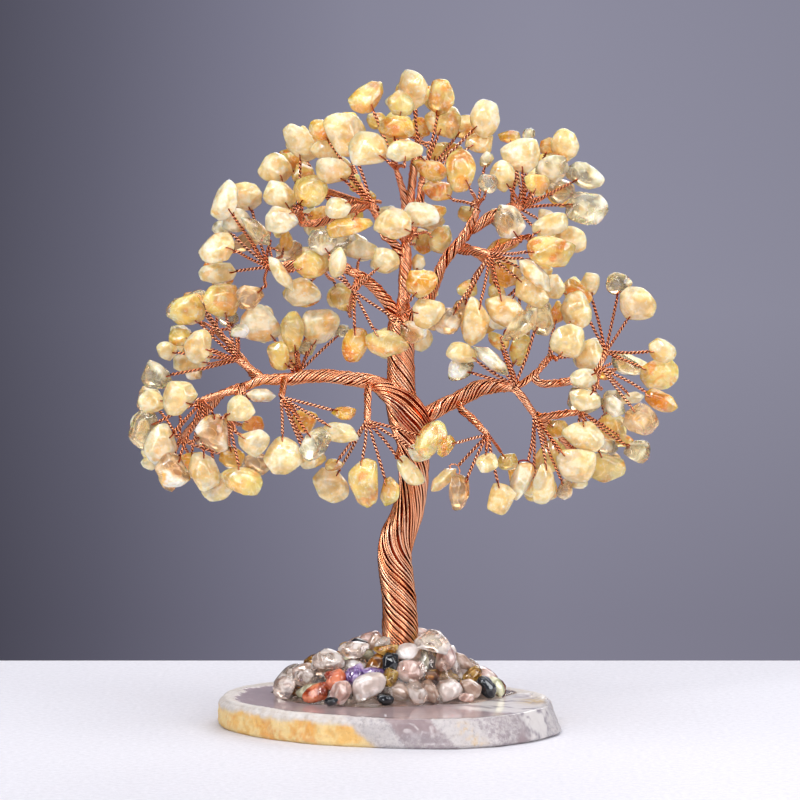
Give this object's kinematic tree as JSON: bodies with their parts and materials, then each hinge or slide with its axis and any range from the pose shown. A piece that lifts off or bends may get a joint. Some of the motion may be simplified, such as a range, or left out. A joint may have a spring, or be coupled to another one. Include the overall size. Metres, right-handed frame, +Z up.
{
  "type": "gemstone tree ornament",
  "caption": "Decorative wire tree: twisted copper trunk and bendable limbs carry drilled citrine chips, standing in a glued mound of mixed tumbled stones on an agate slice.",
  "frame": {"origin": "on the flat underside of the agate slice, below the foot of the trunk in depth and at the middle of its width", "axes": "+Z up along the trunk, +X to the right seen from the front, +Y to the back"},
  "size_m": [0.1395, 0.0768, 0.1643],
  "materials": {
    "copper_wire": "twisted bare copper wire, satin",
    "agate": "polished top, rough crusted rim",
    "clear_glue": "cured clear resin, glossy",
    "citrine_milky": "tumbled, milky cream, soft gloss",
    "citrine_clear": "tumbled, glassy pale yellow, glossy",
    "citrine_amber": "tumbled, amber with iron stains, glossy",
    "clear_quartz": "tumbled, glassy, glossy",
    "milky_quartz": "tumbled, milky white, soft gloss",
    "grey_agate": "tumbled grey agate, glossy",
    "hematite": "tumbled hematite, mirror gloss",
    "tiger_eye": "tumbled tiger's eye, silky bands",
    "amethyst": "tumbled amethyst, glossy",
    "carnelian": "tumbled carnelian, glossy",
    "citrine_mound": "tumbled citrine, glossy",
    "rose_quartz": "tumbled rose quartz, glossy",
    "prehnite": "tumbled prehnite, glossy"
  },
  "bodies": {
    "base_and_trunk": {"agate_slab": "agate", "chips_trunk_amber": "citrine_amber", "chips_trunk_milky": "citrine_milky", "eyes_trunk": "copper_wire", "fork_stubs": "copper_wire", "glue_bed": "clear_glue", "mound_amethyst": "amethyst", "mound_carnelian": "carnelian", "mound_citrine": "citrine_mound", "mound_grey_agate": "grey_agate", "mound_hematite": "hematite", "mound_milky_quartz": "milky_quartz", "mound_prehnite": "prehnite", "mound_quartz": "clear_quartz", "mound_rose_quartz": "rose_quartz", "mound_tiger_eye": "tiger_eye", "stems_trunk": "copper_wire", "trunk_bundle": "copper_wire", "twigs_trunk": "copper_wire"},
    "limb_left_lower": {"chips_left_lower_amber": "citrine_amber", "chips_left_lower_clear": "citrine_clear", "chips_left_lower_milky": "citrine_milky", "eyes_left_lower": "copper_wire", "limb_left_lower": "copper_wire", "stems_left_lower": "copper_wire", "twigs_left_lower": "copper_wire"},
    "limb_right_lower": {"chips_right_lower_amber": "citrine_amber", "chips_right_lower_clear": "citrine_clear", "chips_right_lower_milky": "citrine_milky", "eyes_right_lower": "copper_wire", "limb_right_lower": "copper_wire", "stems_right_lower": "copper_wire", "twigs_right_lower": "copper_wire"},
    "limb_left_upper": {"chips_left_upper_amber": "citrine_amber", "chips_left_upper_clear": "citrine_clear", "chips_left_upper_milky": "citrine_milky", "eyes_left_upper": "copper_wire", "limb_left_upper": "copper_wire", "stems_left_upper": "copper_wire", "twigs_left_upper": "copper_wire"},
    "limb_left_top": {"chips_left_top_amber": "citrine_amber", "chips_left_top_milky": "citrine_milky", "eyes_left_top": "copper_wire", "limb_left_top": "copper_wire", "stems_left_top": "copper_wire", "twigs_left_top": "copper_wire"},
    "crown": {"chips_crown_amber": "citrine_amber", "chips_crown_milky": "citrine_milky", "eyes_crown": "copper_wire", "limb_crown": "copper_wire", "stems_crown": "copper_wire", "twigs_crown": "copper_wire"},
    "limb_right_upper": {"chips_right_upper_amber": "citrine_amber", "chips_right_upper_clear": "citrine_clear", "chips_right_upper_milky": "citrine_milky", "eyes_right_upper": "copper_wire", "limb_right_upper": "copper_wire", "stems_right_upper": "copper_wire", "twigs_right_upper": "copper_wire"}
  },
  "joints": [
    {"name": "limb_left_lower_bend", "type": "hinge", "parent": "base_and_trunk", "child": "limb_left_lower", "pos_m": [-0.00749, -0.001, 0.08675], "axis": [0, -1, 0], "range_deg": [-3, 12]},
    {"name": "limb_right_lower_bend", "type": "hinge", "parent": "base_and_trunk", "child": "limb_right_lower", "pos_m": [0.01256, -0.0015, 0.07985], "axis": [0, 1, 0], "range_deg": [-3, 12]},
    {"name": "limb_left_upper_bend", "type": "hinge", "parent": "base_and_trunk", "child": "limb_left_upper", "pos_m": [0.00001, -0.001, 0.10513], "axis": [0, 1, 0], "range_deg": [-4, 4]},
    {"name": "limb_left_top_bend", "type": "hinge", "parent": "base_and_trunk", "child": "limb_left_top", "pos_m": [0.00225, 0, 0.11928], "axis": [0, 1, 0], "range_deg": [-4, 4]},
    {"name": "crown_bend", "type": "hinge", "parent": "base_and_trunk", "child": "crown", "pos_m": [0.004, 0, 0.12068], "axis": [0, 1, 0], "range_deg": [-4, 4]},
    {"name": "limb_right_upper_bend", "type": "hinge", "parent": "base_and_trunk", "child": "limb_right_upper", "pos_m": [0.00793, -0.001, 0.10491], "axis": [0, 1, 0], "range_deg": [-4, 4]}
  ]
}
